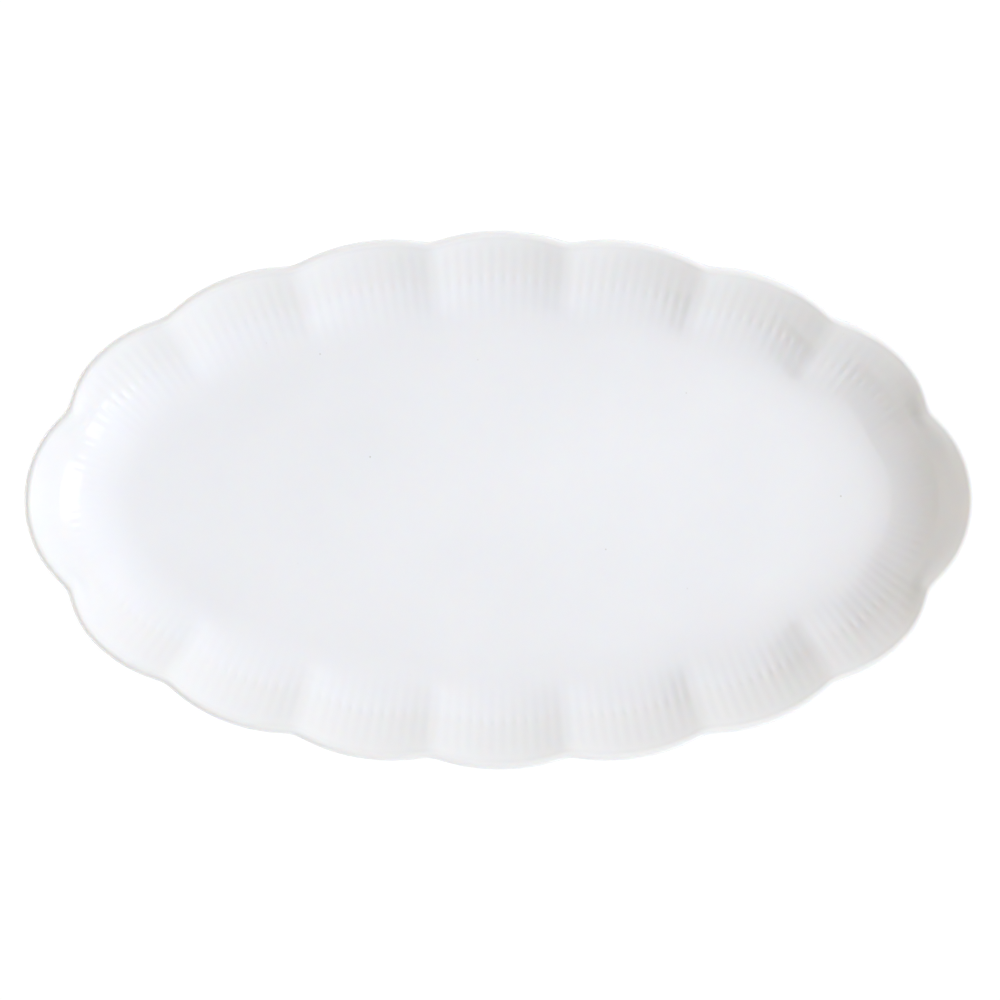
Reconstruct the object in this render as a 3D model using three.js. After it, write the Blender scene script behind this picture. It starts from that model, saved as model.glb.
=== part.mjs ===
// Relish dish: a long oval of white glazed porcelain with a scalloped rim, a ribbed wall and a foot ring.
// Millimetres, +Z up. The origin is on the table under the middle of the dish, and +X runs along its length.
import * as THREE from "three";

// Overall size
const LENGTH = 240;
const WIDTH = 136;
const HEIGHT = 22;

// Wall and floor, in a section square to the rim
const WALL_RUN = 26; // from the outline in to the edge of the flat floor
const GUIDE_INSET = 11.5; // from the outline in to the guide, a line round the wall
const FLOOR_THICKNESS = 4;
const RIM_THICKNESS = 2.2; // the rim is a half round of this diameter
const RIM_SLOPE_DEGREES = 46; // slope of the wall where it meets the rim
const COVE_REACH = 12; // how far the floor's level carries on into the wall's curve
const FLANK_REACH = 9; // how far the rim's slope carries down into it

// Lobes of the rim, and the creases that run down the wall from the notches between them
const SIDE_LOBES = 7; // along each long side, between the two end lobes
const END_LOBE_ARC = 52.5; // measured along the outline
const SIDE_NOTCH_DEPTH = 2.1;
const END_NOTCH_DEPTH = 3.4; // of the notches beside the end lobes
const NOTCH_ROUNDING = 2; // radius at the bottom of a notch
const LOBE_FLATNESS = 2.2; // a higher power makes the lobes flatter and the notches narrower
const CREASE_RISE = 3; // height above the floor where a crease has its full depth
const END_CREASE_INSET = 9; // from the outline in to where the creases of the end notches have become shallow
const END_CREASE_DEPTH = 0.8; // of the end notches' creases from there down

// Ribs on the inside of the wall
const RIBS_PER_SIDE_LOBE = 12;
const RIBS_PER_END_LOBE = 16;
const RIB_RELIEF = 0.04; // on the guide; they rise to it slowly from the floor's edge
const END_RIB_RELIEF = 0.02; // the same in the end lobes
const RIB_RUN_OUT = 3; // they die away over this distance, above the guide in the end lobes, else at the rim

// Foot ring under the floor
const FOOT_HEIGHT = 3;
const FOOT_SETBACK = 2; // in from the edge of the flat floor
const FOOT_TOP_WIDTH = 5; // where it meets the underside
const FOOT_LAND_WIDTH = 3; // where it meets the table
const FOOT_EDGE = 0.5; // eased edge on both sides of the land

// Fineness of the facets
const INNER_WALL_STEPS = 6;
const OUTER_WALL_STEPS = 3;
const COLUMNS_PER_RIB = 2; // a valley and a crest
const COLUMNS_PER_FOOT_COLUMN = 4;
const OUTLINE_DIVISIONS = 4000; // for measuring along the outline

const floorTop = FOOT_HEIGHT + FLOOR_THICKNESS;
const guideHalfLength = LENGTH / 2 - GUIDE_INSET;
const guideHalfWidth = WIDTH / 2 - GUIDE_INSET;

// A place on the guide, an ellipse. The outline, the floor's edge and the foot ring all run parallel to it.
function guideStation(angle) {
  const point = new THREE.Vector3(guideHalfLength * Math.cos(angle), guideHalfWidth * Math.sin(angle), 0);
  const outward = new THREE.Vector3(guideHalfWidth * Math.cos(angle), guideHalfLength * Math.sin(angle), 0);
  return { point, outward: outward.normalize() };
}

// The outline through the tops of the lobes, parallel to the guide
class Outline extends THREE.Curve {
  constructor() {
    super();
    this.arcLengthDivisions = OUTLINE_DIVISIONS;
  }

  getPoint(share, target = new THREE.Vector3()) {
    const { point, outward } = guideStation(2 * Math.PI * share);
    return target.copy(point).addScaledVector(outward, GUIDE_INSET);
  }
}

// The lobes in order, anticlockwise from the one at the +X end, and which of their notches are end notches
function makeLobes(outlineLength) {
  const endLobe = {
    arc: END_LOBE_ARC,
    ribs: RIBS_PER_END_LOBE,
    ribRelief: END_RIB_RELIEF,
    ribsReachRim: false,
    followsEndNotch: true,
    meetsEndNotch: true,
  };
  const sideLobes = Array.from({ length: SIDE_LOBES }, (_, index) => ({
    arc: (outlineLength - 2 * END_LOBE_ARC) / (2 * SIDE_LOBES),
    ribs: RIBS_PER_SIDE_LOBE,
    ribRelief: RIB_RELIEF,
    ribsReachRim: true,
    followsEndNotch: index === 0,
    meetsEndNotch: index === SIDE_LOBES - 1,
  }));
  return [endLobe, ...sideLobes, endLobe, ...sideLobes];
}

// How far a notch pushes the outline in at a distance along it; the lobe's middle lies at this reach
function notchDepth(distance, reach, depth) {
  const rounded = Math.hypot(distance, NOTCH_ROUNDING) - NOTCH_ROUNDING;
  const furthest = Math.hypot(reach, NOTCH_ROUNDING) - NOTCH_ROUNDING;
  return depth * (1 - rounded / furthest) ** LOBE_FLATNESS;
}

// Places all the way round, with how deep the notch and how high the rib is at each of them
function makeStations() {
  const outline = new Outline();
  const outlineLength = outline.getLength();
  const stations = [];
  let lobeStart = -END_LOBE_ARC / 2;
  for (const lobe of makeLobes(outlineLength)) {
    const columns = lobe.ribs * COLUMNS_PER_RIB;
    for (let column = 0; column < columns; column += 1) {
      const along = column / columns;
      const arcShare = THREE.MathUtils.euclideanModulo((lobeStart + along * lobe.arc) / outlineLength, 1);
      const station = guideStation(2 * Math.PI * outline.getUtoTmapping(arcShare));
      station.byEndNotch = along < 0.5 ? lobe.followsEndNotch : lobe.meetsEndNotch;
      const depth = station.byEndNotch ? END_NOTCH_DEPTH : SIDE_NOTCH_DEPTH;
      station.notch = notchDepth(Math.min(along, 1 - along) * lobe.arc, lobe.arc / 2, depth);
      station.rib = lobe.ribRelief * (1 - Math.cos(2 * Math.PI * along * lobe.ribs)) / 2;
      station.upperRib = lobe.ribsReachRim ? station.rib : 0;
      stations.push(station);
    }
    lobeStart += lobe.arc;
  }
  return stations;
}

// How much of the ribs' relief stands at a distance in from the outline, below the guide and above it
function ribShares(inset) {
  const runIn = THREE.MathUtils.smoothstep(WALL_RUN - inset, 0, WALL_RUN - GUIDE_INSET);
  const below = THREE.MathUtils.smoothstep(inset, GUIDE_INSET - RIB_RUN_OUT, GUIDE_INSET);
  const runOut = THREE.MathUtils.smoothstep(inset, RIM_THICKNESS, RIM_THICKNESS + RIB_RUN_OUT);
  return { rib: runIn * below, upperRib: runOut * (1 - below) };
}

// How much of its notch's depth a crease has, for a side notch and for an end notch
function creaseShares(inset, height) {
  const rise = THREE.MathUtils.clamp((height - floorTop) / CREASE_RISE, 0, 1);
  const sideCrease = Math.sin(rise * Math.PI / 2);
  const fade = THREE.MathUtils.smoothstep(inset, RIM_THICKNESS, END_CREASE_INSET);
  const endCrease = sideCrease * THREE.MathUtils.lerp(1, END_CREASE_DEPTH / END_NOTCH_DEPTH, fade);
  return { sideCrease, endCrease };
}

// The rounded rim: a point of its half round, by the angle from straight up towards the outside
function rimPoint(angle) {
  const radius = RIM_THICKNESS / 2;
  return new THREE.Vector2(radius * (1 - Math.sin(angle)), HEIGHT - radius * (1 - Math.cos(angle)));
}

// The inner face of the wall, from the floor's edge up to the rim, as inset from the outline and height
function makeInnerCurve() {
  const slope = THREE.MathUtils.degToRad(RIM_SLOPE_DEGREES);
  const rimEnd = rimPoint(-slope);
  const flank = new THREE.Vector2(Math.cos(slope), -Math.sin(slope)).multiplyScalar(FLANK_REACH);
  return new THREE.CubicBezierCurve(
    new THREE.Vector2(WALL_RUN, floorTop),
    new THREE.Vector2(WALL_RUN - COVE_REACH, floorTop),
    rimEnd.clone().add(flank),
    rimEnd,
  );
}

// What section rows share that carry no ribs
const straightUp = new THREE.Vector2(0, 1);
const noRibs = { rib: 0, upperRib: 0 };

// Rows of the section: up the outer face from the underside, over the rim, down the inner face to the floor
function makeWallSection() {
  const curve = makeInnerCurve();
  const innerRow = (share) => {
    const { x: inset, y: height } = curve.getPoint(share);
    const tangent = curve.getTangent(share);
    const normal = new THREE.Vector2(tangent.y, -tangent.x);
    return { inset, height, normal, ...creaseShares(inset, height), ...ribShares(inset) };
  };
  const outerRow = (share) => {
    const { inset, height, normal, sideCrease, endCrease } = innerRow(share);
    const thickness = THREE.MathUtils.lerp(FLOOR_THICKNESS, RIM_THICKNESS, share);
    return {
      inset: inset - thickness * normal.x,
      height: height - thickness * normal.y,
      normal,
      sideCrease,
      endCrease,
      ...noRibs,
    };
  };
  const rimRow = (angle) => {
    const { x: inset, y: height } = rimPoint(angle);
    return { inset, height, normal: straightUp, sideCrease: 1, endCrease: 1, ...noRibs };
  };
  const rows = [];
  for (let step = 0; step <= OUTER_WALL_STEPS; step += 1) rows.push(outerRow(step / OUTER_WALL_STEPS));
  rows.push(rimRow(Math.PI / 2), rimRow(0));
  for (let step = INNER_WALL_STEPS; step >= 0; step -= 1) rows.push(innerRow(step / INNER_WALL_STEPS));
  return rows;
}

// Carries a section row to its place at a station: notches push it inwards, ribs raise it off the inner face
function placeRow(row, station) {
  const relief = row.rib * station.rib + row.upperRib * station.upperRib;
  const crease = station.byEndNotch ? row.endCrease : row.sideCrease;
  const inset = row.inset + crease * station.notch + relief * row.normal.x;
  const place = station.point.clone().addScaledVector(station.outward, GUIDE_INSET - inset);
  return place.setZ(row.height + relief * row.normal.y);
}

// Joins two neighbouring rings, given by their first vertices, with outward faces when the second lies above
function joinRings(indices, first, second, columns) {
  for (let column = 0; column < columns; column += 1) {
    const next = (column + 1) % columns;
    indices.push(first + column, first + next, second + next);
    indices.push(first + column, second + next, second + column);
  }
}

function makeGeometry(points, indices) {
  const geometry = new THREE.BufferGeometry().setFromPoints(points);
  geometry.setIndex(indices);
  geometry.computeVertexNormals();
  return geometry;
}

// One closed skin: wall rings all the way over the rim, closed by the underside and by the floor
function makeDishGeometry(stations) {
  const section = makeWallSection();
  const columns = stations.length;
  const points = section.flatMap((row) => stations.map((station) => placeRow(row, station)));
  const indices = [];
  for (let row = 0; row < section.length - 1; row += 1) {
    joinRings(indices, row * columns, (row + 1) * columns, columns);
  }
  const undersideCentre = points.push(new THREE.Vector3(0, 0, FOOT_HEIGHT)) - 1;
  const floorCentre = points.push(new THREE.Vector3(0, 0, floorTop)) - 1;
  const floorEdge = (section.length - 1) * columns;
  for (let column = 0; column < columns; column += 1) {
    const next = (column + 1) % columns;
    indices.push(undersideCentre, next, column);
    indices.push(floorCentre, floorEdge + column, floorEdge + next);
  }
  return makeGeometry(points, indices);
}

// Section of the foot ring, from the outer edge of its land up, across the top and down the inner side
function makeFootSection() {
  const outerTop = WALL_RUN + FOOT_SETBACK;
  const innerTop = outerTop + FOOT_TOP_WIDTH;
  const taper = (FOOT_TOP_WIDTH - FOOT_LAND_WIDTH) / 2;
  const corners = [
    [outerTop + taper, 0],
    [outerTop + taper - FOOT_EDGE, FOOT_EDGE],
    [outerTop, FOOT_HEIGHT],
    [innerTop, FOOT_HEIGHT],
    [innerTop - taper + FOOT_EDGE, FOOT_EDGE],
    [innerTop - taper, 0],
  ];
  const plain = { normal: straightUp, sideCrease: 0, endCrease: 0, ...noRibs };
  return corners.map(([inset, height]) => ({ inset, height, ...plain }));
}

// A ring whose section closes on itself
function makeFootGeometry(stations) {
  const section = makeFootSection();
  const columns = stations.length;
  const points = section.flatMap((row) => stations.map((station) => placeRow(row, station)));
  const indices = [];
  for (let row = 0; row < section.length; row += 1) {
    const nextRow = (row + 1) % section.length;
    joinRings(indices, row * columns, nextRow * columns, columns);
  }
  return makeGeometry(points, indices);
}

const glazedPorcelain = new THREE.MeshStandardMaterial({ color: 0xeff0f4, roughness: 0.12, metalness: 0 });
const bareBiscuit = new THREE.MeshStandardMaterial({ color: 0xe8e3d9, roughness: 0.8, metalness: 0 });

const stations = makeStations();

const dishBody = new THREE.Mesh(makeDishGeometry(stations), glazedPorcelain);
dishBody.name = "dish_body";

const footStations = stations.filter((_, index) => index % COLUMNS_PER_FOOT_COLUMN === 0);
const footRing = new THREE.Mesh(makeFootGeometry(footStations), bareBiscuit);
footRing.name = "foot_ring";

const relishDish = new THREE.Group();
relishDish.name = "relish_dish";
relishDish.add(dishBody, footRing);

export default relishDish;
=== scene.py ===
# Relish dish in white glazed porcelain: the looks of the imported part, seen from straight above.
# Metres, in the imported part's frame: the table at zero height, +Z up, +X along the dish.
import math
from typing import NamedTuple

import bpy
import numpy as np
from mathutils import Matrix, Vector


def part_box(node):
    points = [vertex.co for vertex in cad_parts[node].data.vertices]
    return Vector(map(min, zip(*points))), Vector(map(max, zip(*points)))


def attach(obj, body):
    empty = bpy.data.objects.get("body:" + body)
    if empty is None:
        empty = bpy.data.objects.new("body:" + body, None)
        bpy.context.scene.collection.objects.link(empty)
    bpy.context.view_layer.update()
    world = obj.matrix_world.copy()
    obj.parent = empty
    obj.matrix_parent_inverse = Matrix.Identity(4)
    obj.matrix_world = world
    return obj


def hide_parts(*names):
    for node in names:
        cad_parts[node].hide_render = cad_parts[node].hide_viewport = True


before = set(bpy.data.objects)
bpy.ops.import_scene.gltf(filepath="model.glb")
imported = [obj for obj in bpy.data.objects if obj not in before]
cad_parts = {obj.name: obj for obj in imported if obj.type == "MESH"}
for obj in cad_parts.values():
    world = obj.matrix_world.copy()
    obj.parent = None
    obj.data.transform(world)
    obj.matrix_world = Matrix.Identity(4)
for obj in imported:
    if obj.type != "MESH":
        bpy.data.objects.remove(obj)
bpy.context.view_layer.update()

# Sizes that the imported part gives
dish_low, dish_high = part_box("dish_body")
half_length = dish_high.x
half_width = dish_high.y
rim_top = dish_high.z
underside = dish_low.z

# Wall and floor, in a section square to the rim
WALL_RUN = 0.026  # from the outline in to the edge of the flat floor
GUIDE_INSET = 0.0115  # from the outline in to the guide, a line round the wall
FLOOR_THICKNESS = 0.004
RIM_THICKNESS = 0.0022  # the rim is a half round of this diameter
RIM_SLOPE = math.radians(46)  # slope of the wall where it meets the rim
COVE_REACH = 0.012  # how far the floor's level carries on into the wall's curve
FLANK_REACH = 0.009  # how far the rim's slope carries down into it

# Lobes of the rim, and the creases that run down the wall from the notches between them
SIDE_LOBES = 7  # along each long side, between the two end lobes
END_LOBE_ARC = 0.0525  # measured along the outline
SIDE_NOTCH_DEPTH = 0.0021
END_NOTCH_DEPTH = 0.0034  # of the notches beside the end lobes
NOTCH_ROUNDING = 0.002  # radius at the bottom of a notch
LOBE_FLATNESS = 2.2  # a higher power makes the lobes flatter and the notches narrower
CREASE_RISE = 0.003  # height above the floor where a crease has its full depth
END_CREASE_INSET = 0.009  # from the outline in to where the end notches' creases have become shallow
END_CREASE_DEPTH = 0.0008  # of the end notches' creases from there down

# Ribs on the inside of the wall
RIBS_PER_SIDE_LOBE = 12
RIBS_PER_END_LOBE = 16
RIB_RELIEF = 0.00004  # on the guide; they rise to it slowly from the floor's edge
END_RIB_RELIEF = 0.00002  # the same in the end lobes
RIB_RUN_OUT = 0.003  # they die away over this, above the guide in the end lobes, else at the rim
BEAD_RELIEF = 0.0001  # of the small bead that each rib has where it crosses the guide
BEAD_HALF_LENGTH = 0.0009
BEAD_ROUNDNESS = 2  # a higher power makes the beads narrower than their ribs

# Foot ring under the floor
FOOT_SETBACK = 0.002  # in from the edge of the flat floor
FOOT_TOP_WIDTH = 0.005  # where it meets the underside
FOOT_LAND_WIDTH = 0.003  # where it meets the table
FOOT_EDGE = 0.0005  # eased edge on both sides of the land
FOOT_FILLET = 0.001  # where its sides meet the underside
FOOT_SINK = 0.0003  # how far its top reaches into the floor

# Fineness of the mesh
COLUMNS_PER_RIB = 8
FOOT_COLUMNS_PER_RIB = 2
OUTER_WALL_STEPS = 20
INNER_WALL_STEPS = 44
RIM_STEPS = 14
BEND_STEPS = 6
FLOOR_RING_SHARES = (0.98, 0.94, 0.85, 0.7, 0.5, 0.3, 0.1)  # of the way from the middle to its edge
OUTLINE_DIVISIONS = 4000  # for measuring along the outline
FOOT_SHARP_ANGLE = math.radians(50)  # edges of the foot that turn more than this are shaded sharp

# Finish, with linear colours
GLAZE_COLOUR = (0.885, 0.893, 0.912, 1)  # on the floor and the lower wall, below the painted shade
GLAZE_CLOUD_COLOUR = (0.865, 0.873, 0.892, 1)
UPPER_WALL_PAINTED_SHADE_COLOUR = (0.868, 0.868, 0.866, 1)  # painted shade above the guide, for the dark low surroundings that the steep upper wall mirrors
GLAZE_RIM_COLOUR = (0.835, 0.835, 0.83, 1)  # where it has drawn back from the rim's edge
SPECK_COLOUR = (0.5, 0.46, 0.4, 1)
BISCUIT_COLOUR = (0.8, 0.77, 0.71, 1)
BISCUIT_DARK_COLOUR = (0.72, 0.68, 0.61, 1)
GLAZE_ROUGHNESS = 0.05
BISCUIT_ROUGHNESS = 0.85
REFRACTION = 1.5
PAINTED_SHADE_FADE = 0.003  # height over which the painted shade sets in, at the guide
SPREAD_SHARE = 0.5  # of the light, which spreads inside the porcelain before it leaves
SPREAD_DEPTH = 0.002
SPREAD_BY_COLOUR = (1, 0.75, 0.55)  # red, green and blue, as shares of that depth
CLOUDS_PER_METRE = 26
CLOUD_RANGE = (0.35, 0.7)  # of the noise, from clear glaze to full cloud
SPECK_CELLS_PER_METRE = 150  # one speck at most to a cell
SPECK_EDGE = (0.045, 0.02)  # as shares of a cell, from where a speck ends to where it is full
SPECK_CHANCE = 0.4  # share of the cells that have one
SPECK_RARITY = 2.5  # a higher power leaves fewer dark specks among the faint ones
RIPPLES_PER_METRE = 90
RIPPLE_HEIGHT = 0.0005
RIPPLE_STRENGTH = 0.05
BARE_EDGE = (0.0009, 0.0006)  # heights on the foot, from whole glaze to bare biscuit
BARE_EDGE_PLAY = 0.0004  # how uneven that edge is
BARE_EDGE_WAVES_PER_METRE = 500
GRAINS_PER_METRE = 1500

floor_top = underside + FLOOR_THICKNESS
guide_half_length = half_length - GUIDE_INSET
guide_half_width = half_width - GUIDE_INSET


class Stations(NamedTuple):
    """Places all the way round the dish, one row of each array to a place."""
    point: np.ndarray  # on the guide
    outward: np.ndarray  # square to the guide
    notch: np.ndarray  # how far the rim is pushed in
    by_end_notch: np.ndarray  # whether the nearest notch is one beside an end lobe
    rib: np.ndarray  # height of the ribs on the guide
    upper_rib: np.ndarray  # the same for the part of the ribs above the guide
    bead: np.ndarray  # height of their beads, which fade out towards the creases


class Row(NamedTuple):
    """A point of the wall's section, which goes all the way round."""
    inset: float  # from the outline
    height: float
    lean: float  # the face's normal, inwards and up
    rise: float
    side_crease: float  # share of the side notches' depth
    end_crease: float  # share of the end notches' depth
    rib: float  # share of the ribs' height, in their part below the guide
    upper_rib: float  # the same above it
    bead: float  # share of their beads' height


def smoothstep(value, low, high):
    share = min(max((value - low) / (high - low), 0), 1)
    return share * share * (3 - 2 * share)


def guide_places(angles):
    """Points of the guide, an ellipse, and the outward directions there."""
    point = np.stack([guide_half_length * np.cos(angles), guide_half_width * np.sin(angles)], axis=1)
    outward = np.stack([guide_half_width * np.cos(angles), guide_half_length * np.sin(angles)], axis=1)
    return point, outward / np.linalg.norm(outward, axis=1, keepdims=True)


def notch_shape(distance, reach):
    """1 at a notch and 0 in the middle of the lobe, which lies this far from it along the outline."""
    rounded = np.hypot(distance, NOTCH_ROUNDING) - NOTCH_ROUNDING
    furthest = math.hypot(reach, NOTCH_ROUNDING) - NOTCH_ROUNDING
    return np.maximum(1 - rounded / furthest, 0) ** LOBE_FLATNESS


def make_stations(columns_per_rib):
    """Stations in the order of the lobes, anticlockwise from the one at the +X end."""
    angles = np.linspace(0, 2 * math.pi, OUTLINE_DIVISIONS + 1)
    point, outward = guide_places(angles)
    steps = np.linalg.norm(np.diff(point + GUIDE_INSET * outward, axis=0), axis=1)
    lengths = np.concatenate([[0], np.cumsum(steps)])
    side_arc = (lengths[-1] - 2 * END_LOBE_ARC) / (2 * SIDE_LOBES)
    arcs, notches, by_end_notches, ribs, upper_ribs, beads = [], [], [], [], [], []
    lobe_start = -END_LOBE_ARC / 2
    for lobe in range(2 * (SIDE_LOBES + 1)):
        place = lobe % (SIDE_LOBES + 1)
        is_end_lobe = place == 0
        lobe_arc = END_LOBE_ARC if is_end_lobe else side_arc
        rib_count = RIBS_PER_END_LOBE if is_end_lobe else RIBS_PER_SIDE_LOBE
        rib_relief = END_RIB_RELIEF if is_end_lobe else RIB_RELIEF
        along = np.arange(rib_count * columns_per_rib) / (rib_count * columns_per_rib)
        by_end_notch = np.where(along < 0.5, place in (0, 1), place in (0, SIDE_LOBES))
        notch = notch_shape(np.minimum(along, 1 - along) * lobe_arc, lobe_arc / 2)
        crest = (1 - np.cos(2 * math.pi * along * rib_count)) / 2
        arcs.append(lobe_start + along * lobe_arc)
        notches.append(notch * np.where(by_end_notch, END_NOTCH_DEPTH, SIDE_NOTCH_DEPTH))
        by_end_notches.append(by_end_notch)
        ribs.append(rib_relief * crest)
        upper_ribs.append(rib_relief * crest * (not is_end_lobe))
        beads.append(BEAD_RELIEF * crest ** BEAD_ROUNDNESS * (1 - notch))
        lobe_start += lobe_arc
    places = np.interp(np.mod(np.concatenate(arcs), lengths[-1]), lengths, angles)
    shapes = [np.concatenate(parts) for parts in (notches, by_end_notches, ribs, upper_ribs, beads)]
    return Stations(*guide_places(places), *shapes)


def rim_point(angle):
    """Inset and height of a point of the rim's half round, by its angle from straight up to the outside."""
    radius = RIM_THICKNESS / 2
    return radius * (1 - math.sin(angle)), rim_top - radius * (1 - math.cos(angle))


def inner_curve(share):
    """A point of the wall's inner face, from the floor's edge up to the rim, and the normal there."""
    rim_inset, rim_height = rim_point(-RIM_SLOPE)
    flank = (FLANK_REACH * math.cos(RIM_SLOPE), -FLANK_REACH * math.sin(RIM_SLOPE))
    knots = np.array([
        (WALL_RUN, floor_top),
        (WALL_RUN - COVE_REACH, floor_top),
        (rim_inset + flank[0], rim_height + flank[1]),
        (rim_inset, rim_height),
    ])
    rest = 1 - share
    point = np.array([rest ** 3, 3 * rest ** 2 * share, 3 * rest * share ** 2, share ** 3]) @ knots
    tangent = np.array([rest ** 2, 2 * rest * share, share ** 2]) @ np.diff(knots, axis=0)
    tangent /= np.linalg.norm(tangent)
    return point, (tangent[1], -tangent[0])


def wall_height(inset):
    """Height of the wall's inner face at a distance in from the outline."""
    points = np.array([inner_curve(share)[0] for share in np.linspace(1, 0, INNER_WALL_STEPS + 1)])
    return float(np.interp(inset, points[:, 0], points[:, 1]))


def inner_row(share):
    (inset, height), (lean, rise) = inner_curve(share)
    side_crease = math.sin(min((height - floor_top) / CREASE_RISE, 1) * math.pi / 2)
    fade = smoothstep(inset, RIM_THICKNESS, END_CREASE_INSET)
    end_crease = side_crease * (1 + fade * (END_CREASE_DEPTH / END_NOTCH_DEPTH - 1))
    run_in = smoothstep(WALL_RUN - inset, 0, WALL_RUN - GUIDE_INSET)
    below = smoothstep(inset, GUIDE_INSET - RIB_RUN_OUT, GUIDE_INSET)
    run_out = smoothstep(inset, RIM_THICKNESS, RIM_THICKNESS + RIB_RUN_OUT)
    bead = math.exp(-((inset - GUIDE_INSET) / BEAD_HALF_LENGTH) ** 2)
    rib = run_in * below
    upper_rib = run_out * (1 - below)
    return Row(inset, height, lean, rise, side_crease, end_crease, rib, upper_rib, bead)


def outer_row(share):
    inner = inner_row(share)
    thickness = FLOOR_THICKNESS + share * (RIM_THICKNESS - FLOOR_THICKNESS)
    inset = inner.inset - thickness * inner.lean
    height = inner.height - thickness * inner.rise
    return inner._replace(inset=inset, height=height, rib=0, upper_rib=0, bead=0)


def rim_row(angle):
    inset, height = rim_point(angle)
    return Row(inset, height, 0, 1, 1, 1, 0, 0, 0)


def place_row(row, stations):
    """The ring of points that a section row makes: notches push it inwards, ribs raise it off the face."""
    relief = row.rib * stations.rib + row.upper_rib * stations.upper_rib + row.bead * stations.bead
    crease = np.where(stations.by_end_notch, row.end_crease, row.side_crease)
    inset = row.inset + crease * stations.notch + relief * row.lean
    flat = stations.point + stations.outward * (GUIDE_INSET - inset)[:, None]
    return np.column_stack([flat, row.height + relief * row.rise])


def join_rings(first, second, columns):
    """Faces between two neighbouring rings, given by their first vertices."""
    column = np.arange(columns)
    following = (column + 1) % columns
    corners = [first + column, first + following, second + following, second + column]
    return np.stack(corners, axis=1).tolist()


def make_object(name, points, faces, material):
    mesh = bpy.data.meshes.new(name)
    mesh.from_pydata(points.tolist(), [], faces)
    mesh.shade_smooth()
    mesh.materials.append(material)
    made = bpy.data.objects.new(name, mesh)
    bpy.context.scene.collection.objects.link(made)
    return made


def make_dish(material):
    """One closed skin: underside, outer face, rim, inner face and floor."""
    stations = make_stations(COLUMNS_PER_RIB)
    columns = len(stations.notch)
    outer = [place_row(outer_row(share), stations) for share in np.linspace(0, 1, OUTER_WALL_STEPS + 1)]
    round_angles = np.linspace(math.pi - RIM_SLOPE, -RIM_SLOPE, RIM_STEPS + 1)[1:-1]
    rim = [place_row(rim_row(angle), stations) for angle in round_angles]
    inner = [place_row(inner_row(share), stations) for share in np.linspace(1, 0, INNER_WALL_STEPS + 1)]
    underside_rings = [outer[0] * (share, share, 1) for share in reversed(FLOOR_RING_SHARES)]
    floor_rings = [inner[-1] * (share, share, 1) for share in FLOOR_RING_SHARES]
    rings = underside_rings + outer + rim + inner + floor_rings
    points = np.vstack([*rings, (0, 0, underside), (0, 0, floor_top)])
    faces = []
    for ring in range(len(rings) - 1):
        faces += join_rings(ring * columns, (ring + 1) * columns, columns)
    last = (len(rings) - 1) * columns
    underside_middle = len(points) - 2
    floor_middle = len(points) - 1
    for column in range(columns):
        following = (column + 1) % columns
        faces.append((underside_middle, following, column))
        faces.append((floor_middle, last + column, last + following))
    return make_object("porcelain_dish", points, faces, material)


def bend(start, corner, end):
    """Points of a round that leaves its start towards the corner and comes to its end from there."""
    share = np.linspace(0, 1, BEND_STEPS + 1)[:, None]
    rest = 1 - share
    return rest ** 2 * np.array(start) + 2 * rest * share * np.array(corner) + share ** 2 * np.array(end)


def foot_section():
    """Insets and heights from the outer edge of the land up, across the top and down the inner side."""
    top = WALL_RUN + FOOT_SETBACK
    land = top + (FOOT_TOP_WIDTH - FOOT_LAND_WIDTH) / 2
    side_low = np.array((land - FOOT_EDGE, FOOT_EDGE))
    side_top = np.array((top, underside))
    slope = (side_top - side_low) / (underside - FOOT_EDGE)
    outer_side = np.vstack([
        bend((land, 0), side_low - slope * FOOT_EDGE, side_low),
        bend(side_top - slope * FOOT_FILLET, side_top, (top - FOOT_FILLET, underside)),
        (top - FOOT_FILLET, underside + FOOT_SINK),
    ])
    inner_side = outer_side[::-1] * (-1, 1) + (2 * top + FOOT_TOP_WIDTH, 0)
    return np.vstack([outer_side, inner_side])


def make_foot(material):
    """The foot ring, whose section closes on itself."""
    stations = make_stations(FOOT_COLUMNS_PER_RIB)
    columns = len(stations.notch)
    section = [Row(inset, height, 0, 1, 0, 0, 0, 0, 0) for inset, height in foot_section()]
    rings = [place_row(row, stations) for row in section]
    faces = []
    for ring in range(len(rings)):
        following = (ring + 1) % len(rings)
        faces += join_rings(ring * columns, following * columns, columns)
    foot = make_object("standing_ring", np.vstack(rings), faces, material)
    foot.data.set_sharp_from_angle(angle=FOOT_SHARP_ANGLE)
    return foot


def add_node(tree, kind, inputs=None, **settings):
    """A node with its settings, and with its inputs set to values or linked to other nodes' outputs."""
    made = tree.nodes.new(kind)
    for name, value in settings.items():
        setattr(made, name, value)
    for name, value in (inputs or {}).items():
        if isinstance(value, bpy.types.NodeSocket):
            tree.links.new(value, made.inputs[name])
        else:
            made.inputs[name].default_value = value
    return made


def mix_colours(tree, share, first, second, blend="MIX"):
    """Two colours mixed; the numbers are those of a Mix node's sockets for its share and its colours."""
    mix = add_node(tree, "ShaderNodeMix", data_type="RGBA", blend_type=blend)
    for socket, value in ((mix.inputs[0], share), (mix.inputs[6], first), (mix.inputs[7], second)):
        if isinstance(value, bpy.types.NodeSocket):
            tree.links.new(value, socket)
        else:
            socket.default_value = value
    return mix.outputs[2]


def ramp(tree, value, low, high):
    """0 at the low value and 1 at the high one, which may be the smaller."""
    mapped = add_node(tree, "ShaderNodeMapRange", {"Value": value, "From Min": low, "From Max": high})
    return mapped.outputs["Result"]


def new_material(name):
    material = bpy.data.materials.new(name)
    material.use_nodes = True
    material.node_tree.nodes.clear()
    return material, material.node_tree


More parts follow.
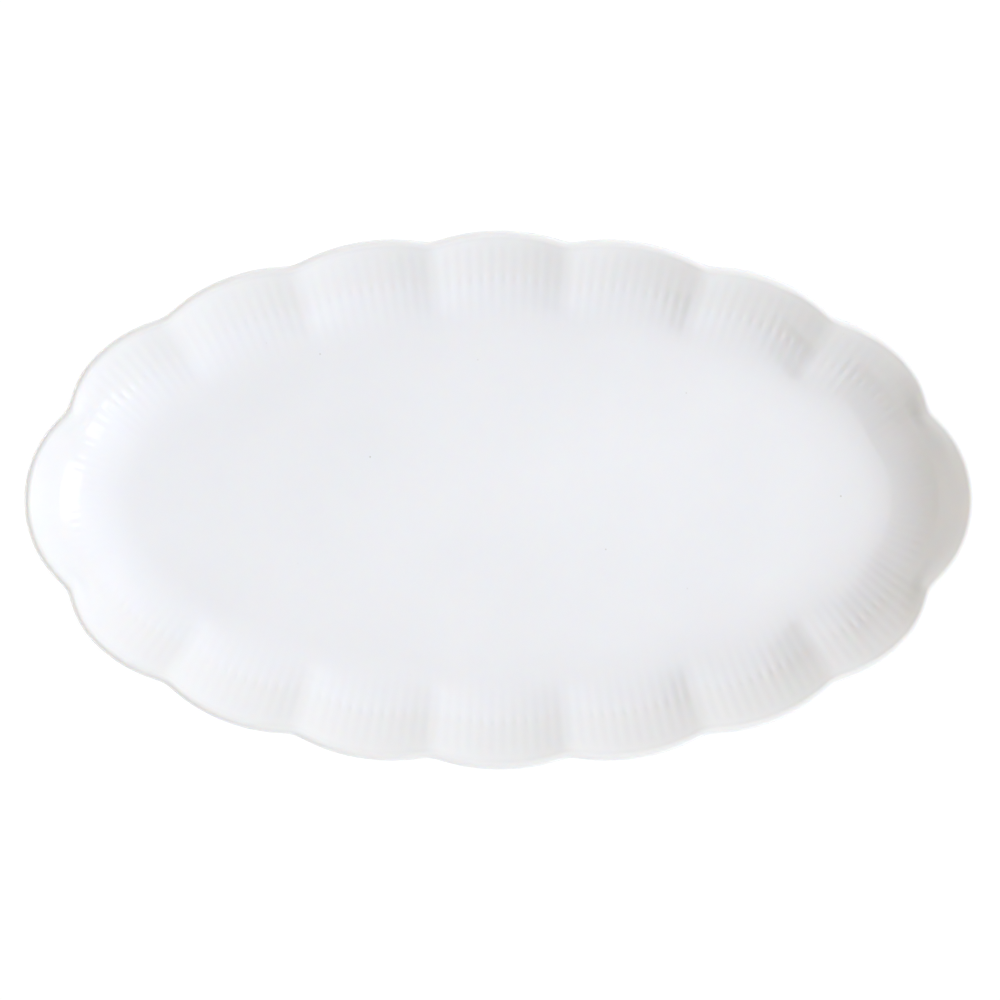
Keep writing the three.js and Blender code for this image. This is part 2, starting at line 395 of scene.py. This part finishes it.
def make_glaze():
    """White porcelain under a clear gloss glaze: faintly uneven in colour, with a few tiny specks, and
    painted shade on the wall above the guide.
    """
    material, tree = new_material("gloss_glaze")
    place = add_node(tree, "ShaderNodeTexCoord").outputs["Object"]
    cloud = add_node(tree, "ShaderNodeTexNoise", {"Vector": place, "Scale": CLOUDS_PER_METRE, "Detail": 3})
    cloudy = ramp(tree, cloud.outputs["Fac"], *CLOUD_RANGE)
    glaze = mix_colours(tree, cloudy, GLAZE_COLOUR, GLAZE_CLOUD_COLOUR)
    height = add_node(tree, "ShaderNodeSeparateXYZ", {"Vector": place}).outputs["Z"]
    # Painted shade: the steep wall above the guide is darker, for the dark low surroundings that it
    # mirrors.
    guide_height = wall_height(GUIDE_INSET)
    painted_shade = ramp(tree, height, guide_height - PAINTED_SHADE_FADE / 2, guide_height + PAINTED_SHADE_FADE / 2)
    drawn_back = ramp(tree, height, rim_top - RIM_THICKNESS / 2, rim_top)
    glaze = mix_colours(tree, painted_shade, glaze, UPPER_WALL_PAINTED_SHADE_COLOUR)
    glaze = mix_colours(tree, drawn_back, glaze, GLAZE_RIM_COLOUR)
    cells = add_node(tree, "ShaderNodeTexVoronoi", {"Vector": place, "Scale": SPECK_CELLS_PER_METRE})
    dot = ramp(tree, cells.outputs["Distance"], *SPECK_EDGE)
    draw = add_node(tree, "ShaderNodeSeparateColor", {"Color": cells.outputs["Color"]}).outputs["Red"]
    strength = add_node(tree, "ShaderNodeMath", {
        0: ramp(tree, draw, SPECK_CHANCE, 0), 1: SPECK_RARITY,
    }, operation="POWER")
    speck = add_node(tree, "ShaderNodeMath", {0: dot, 1: strength.outputs[0]}, operation="MULTIPLY")
    colour = mix_colours(tree, speck.outputs[0], glaze, SPECK_COLOUR)
    ripple = add_node(tree, "ShaderNodeTexNoise", {
        "Vector": place, "Scale": RIPPLES_PER_METRE, "Detail": 1,
    })
    bump = add_node(tree, "ShaderNodeBump", {
        "Height": ripple.outputs["Fac"], "Strength": RIPPLE_STRENGTH, "Distance": RIPPLE_HEIGHT,
    })
    shader = add_node(tree, "ShaderNodeBsdfPrincipled", {
        "Base Color": colour,
        "Roughness": GLAZE_ROUGHNESS,
        "IOR": REFRACTION,
        "Subsurface Weight": SPREAD_SHARE,
        "Subsurface Radius": SPREAD_BY_COLOUR,
        "Subsurface Scale": SPREAD_DEPTH,
        "Normal": bump.outputs["Normal"],
    })
    add_node(tree, "ShaderNodeOutputMaterial", {"Surface": shader.outputs["BSDF"]})
    return material


def make_foot_finish():
    """Glaze on the sides of the foot, and bare ground biscuit where it stands."""
    material, tree = new_material("foot_biscuit")
    place = add_node(tree, "ShaderNodeTexCoord").outputs["Object"]
    height = add_node(tree, "ShaderNodeSeparateXYZ", {"Vector": place}).outputs["Z"]
    edge = add_node(tree, "ShaderNodeTexNoise", {
        "Vector": place, "Scale": BARE_EDGE_WAVES_PER_METRE, "Detail": 2,
    })
    uneven = add_node(tree, "ShaderNodeMath", {
        0: edge.outputs["Fac"], 1: BARE_EDGE_PLAY, 2: height,
    }, operation="MULTIPLY_ADD").outputs[0]
    bare = ramp(tree, uneven, *BARE_EDGE)
    grain = add_node(tree, "ShaderNodeTexNoise", {"Vector": place, "Scale": GRAINS_PER_METRE, "Detail": 2})
    biscuit = mix_colours(tree, grain.outputs["Fac"], BISCUIT_COLOUR, BISCUIT_DARK_COLOUR)
    colour = mix_colours(tree, bare, GLAZE_COLOUR, biscuit)
    roughness = add_node(tree, "ShaderNodeMapRange", {
        "Value": bare, "To Min": GLAZE_ROUGHNESS, "To Max": BISCUIT_ROUGHNESS,
    }).outputs["Result"]
    shader = add_node(tree, "ShaderNodeBsdfPrincipled", {
        "Base Color": colour,
        "Roughness": roughness,
        "IOR": REFRACTION,
    })
    add_node(tree, "ShaderNodeOutputMaterial", {"Surface": shader.outputs["BSDF"]})
    return material


# Studio: white floor and surroundings, a window at the right, and a dim, warm card at the left
FLOOR_HALF_SIZE = 6
FLOOR_LIT_COLOUR = (0.97, 0.97, 0.97, 1)
FLOOR_SHOWN_COLOUR = (0.15, 0.15, 0.15, 1)  # part of the shown white that takes the dish's shadow
FLOOR_SHOWN_GLOW = 0.9  # and the part that doesn't
FAR_COLOUR = (1.1, 1.27, 1.46, 1)  # soft light from the far side of the table
NEAR_COLOUR = (0.87, 1.06, 1.28, 1)  # from its near side
CEILING_COLOUR = (0.96, 0.84, 0.7, 1)  # from overhead
SKY_COLOUR = (0.36, 0.43, 0.59, 1)  # and from high on the right, gathered closer round its middle
SKY_ELEVATION = math.radians(60)
SKY_FOCUS = 4
WINDOW_DISTANCE = 1.4  # from the left end of the dish, whose wall mirrors its two panes
LARGE_PANE_WIDTH = 0.76
LARGE_PANE_HEIGHT = 0.42
LARGE_PANE_AZIMUTH = math.radians(-5)
LARGE_PANE_ELEVATION = math.radians(16)
SMALL_PANE_WIDTH = 0.16
SMALL_PANE_HEIGHT = 0.42
SMALL_PANE_AZIMUTH = math.radians(-37.5)
SMALL_PANE_ELEVATION = math.radians(16)
PANE_POWER = 6.5  # watts per square metre
CARD_COLOUR = (0.15, 0.11, 0.045, 1)
CARD_DISTANCE = 0.45
CARD_WIDTH = 2.1
CARD_LOW = 0.1  # heights of its lower and upper edges
CARD_HIGH = 1.2
LOW_LIGHT_DISTANCE = 0.15  # from the left end of the dish
LOW_LIGHT_WIDTH = 0.5
LOW_LIGHT_HEIGHT = 0.018  # lower than the rim, so that it doesn't shine into the dish
LOW_LIGHT_POWER = 18  # watts per square metre
CAMERA_DISTANCE = 1.1  # above the widest level of the rim
DISH_SHARE_OF_FRAME = 0.951
SENSOR_WIDTH = 36  # millimetres, as the lens is


def seen_directly(tree):
    """1 for rays that show the surroundings, in the picture or mirrored, and 0 for rays that only light."""
    path = add_node(tree, "ShaderNodeLightPath")
    shown = add_node(tree, "ShaderNodeMath", {
        0: path.outputs["Is Camera Ray"], 1: path.outputs["Is Glossy Ray"],
    }, operation="MAXIMUM")
    return add_node(tree, "ShaderNodeMath", {
        0: shown.outputs[0], 1: path.outputs["Is Transmission Ray"],
    }, operation="MAXIMUM").outputs[0]


def make_floor():
    material, tree = new_material("white_floor")
    lighting = add_node(tree, "ShaderNodeBsdfDiffuse", {"Color": FLOOR_LIT_COLOUR})
    shaded = add_node(tree, "ShaderNodeBsdfDiffuse", {"Color": FLOOR_SHOWN_COLOUR})
    glow = add_node(tree, "ShaderNodeEmission", {"Strength": FLOOR_SHOWN_GLOW})
    shown = add_node(tree, "ShaderNodeAddShader", {0: shaded.outputs[0], 1: glow.outputs[0]})
    mix = add_node(tree, "ShaderNodeMixShader", {
        0: seen_directly(tree), 1: lighting.outputs[0], 2: shown.outputs[0],
    })
    add_node(tree, "ShaderNodeOutputMaterial", {"Surface": mix.outputs[0]})
    corners = np.array([(-1, -1, 0), (1, -1, 0), (1, 1, 0), (-1, 1, 0)]) * FLOOR_HALF_SIZE
    floor = make_object("floor", corners, [(0, 1, 2, 3)], material)


def make_card():
    """A dim warm card at the left: the unlit side of the room, which the camera never sees."""
    material, tree = new_material("warm_card")
    shader = add_node(tree, "ShaderNodeBsdfDiffuse", {"Color": CARD_COLOUR})
    add_node(tree, "ShaderNodeOutputMaterial", {"Surface": shader.outputs[0]})
    half = CARD_WIDTH / 2
    ends = [(-half, CARD_LOW), (half, CARD_LOW), (half, CARD_HIGH), (-half, CARD_HIGH)]
    corners = np.array([(-CARD_DISTANCE, across, height) for across, height in ends])
    card = make_object("warm_card", corners, [(0, 1, 2, 3)], material)
    card.visible_camera = False


def make_world():
    """White where it is seen; as light, a room that is dim at the left."""
    world = bpy.data.worlds.new("studio")
    world.use_nodes = True
    tree = world.node_tree
    tree.nodes.clear()
    direction = add_node(tree, "ShaderNodeTexCoord").outputs["Generated"]
    colour = (0, 0, 0, 1)
    for side, side_colour, focus in (
        ((0, 1, 0), FAR_COLOUR, 1),
        ((0, -1, 0), NEAR_COLOUR, 1),
        ((0, 0, 1), CEILING_COLOUR, 1),
        ((math.cos(SKY_ELEVATION), 0, math.sin(SKY_ELEVATION)), SKY_COLOUR, SKY_FOCUS),
    ):
        lean = add_node(tree, "ShaderNodeVectorMath", {0: direction, 1: side}, operation="DOT_PRODUCT")
        facing = add_node(tree, "ShaderNodeMath", {0: lean.outputs["Value"], 1: 0}, operation="MAXIMUM")
        share = add_node(tree, "ShaderNodeMath", {0: facing.outputs[0], 1: focus}, operation="POWER")
        colour = mix_colours(tree, share.outputs[0], colour, side_colour, "ADD")
    light = add_node(tree, "ShaderNodeBackground", {"Color": colour})
    shown = add_node(tree, "ShaderNodeBackground", {"Color": (1, 1, 1, 1), "Strength": 1})
    mix = add_node(tree, "ShaderNodeMixShader", {
        0: seen_directly(tree), 1: light.outputs[0], 2: shown.outputs[0],
    })
    add_node(tree, "ShaderNodeOutputWorld", {"Surface": mix.outputs[0]})
    bpy.context.scene.world = world


def make_light(name, width, height, place, facing, power):
    """A rectangle of light that faces a direction, with its power in watts per square metre."""
    data = bpy.data.lights.new(name, "AREA")
    data.shape = "RECTANGLE"
    data.size = width
    data.size_y = height
    data.energy = power * width * height
    light = bpy.data.objects.new(name, data)
    light.location = place
    light.rotation_euler = facing.to_track_quat("-Z", "Y").to_euler()
    light.visible_camera = False
    bpy.context.scene.collection.objects.link(light)


def make_pane(name, width, height, azimuth, elevation):
    """One pane of the window, as it stands from the left end of the dish."""
    away = Vector((
        math.cos(azimuth) * math.cos(elevation),
        math.sin(azimuth) * math.cos(elevation),
        math.sin(elevation),
    ))
    place = Vector((-half_length, 0, rim_top)) + away * WINDOW_DISTANCE
    make_light(name, width, height, place, -away, PANE_POWER)


def make_low_light():
    """A strip of light on the table at the left, for the outer side of the rim."""
    place = Vector((-half_length - LOW_LIGHT_DISTANCE, 0, LOW_LIGHT_HEIGHT / 2))
    make_light("low_light", LOW_LIGHT_WIDTH, LOW_LIGHT_HEIGHT, place, Vector((1, 0, 0)), LOW_LIGHT_POWER)


def make_camera():
    """Straight above the middle of the dish, with +X to the right and +Y up in the picture."""
    data = bpy.data.cameras.new("camera")
    data.sensor_width = SENSOR_WIDTH
    data.lens = SENSOR_WIDTH * DISH_SHARE_OF_FRAME * CAMERA_DISTANCE / (2 * half_length)
    camera = bpy.data.objects.new("camera", data)
    camera.location = (0, 0, rim_top - RIM_THICKNESS / 2 + CAMERA_DISTANCE)
    bpy.context.scene.collection.objects.link(camera)
    bpy.context.scene.camera = camera


dish = make_dish(make_glaze())
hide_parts("dish_body")
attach(dish, "root")

foot = make_foot(make_foot_finish())
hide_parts("foot_ring")
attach(foot, "root")

make_floor()
make_card()
make_world()
make_pane("large_pane", LARGE_PANE_WIDTH, LARGE_PANE_HEIGHT, LARGE_PANE_AZIMUTH, LARGE_PANE_ELEVATION)
make_pane("small_pane", SMALL_PANE_WIDTH, SMALL_PANE_HEIGHT, SMALL_PANE_AZIMUTH, SMALL_PANE_ELEVATION)
make_low_light()
make_camera()
bpy.context.scene.view_settings.view_transform = "Standard"
